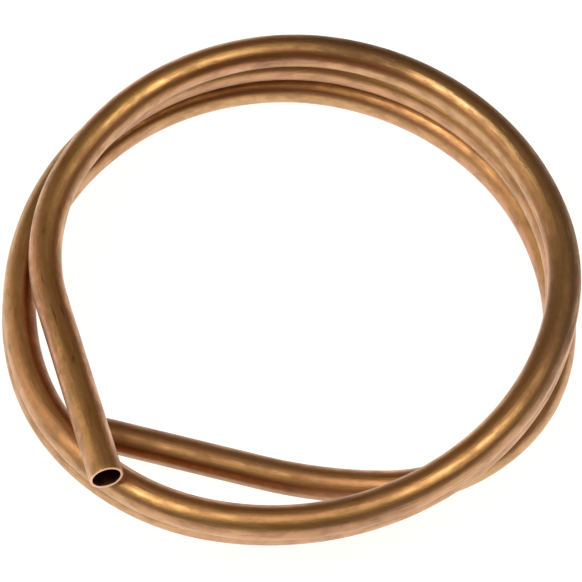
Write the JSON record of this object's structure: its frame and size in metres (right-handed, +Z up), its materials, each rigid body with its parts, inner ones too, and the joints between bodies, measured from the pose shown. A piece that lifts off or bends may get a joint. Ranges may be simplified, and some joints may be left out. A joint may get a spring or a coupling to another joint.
{
  "type": "immersion wort chiller",
  "caption": "Loose flat coil of soft copper tube with bare, square-cut open ends, one lying over the turns and one inside them, for cooling hot liquid.",
  "frame": {"origin": "middle of the coil's box, on the surface that the coil lies on", "axes": "+Z up, along the coil's axis; -Y is the side where the two ends are; the tube winds clockwise and downwards from its upper end, seen from above"},
  "size_m": [0.2219, 0.2197, 0.0464],
  "materials": {
    "copper": "satin drawn copper, lightly tarnished"
  },
  "bodies": {
    "root": {"upper_end": "copper", "top_turn": "copper", "middle_turn": "copper", "bottom_turn": "copper", "lower_end": "copper"}
  },
  "joints": []
}
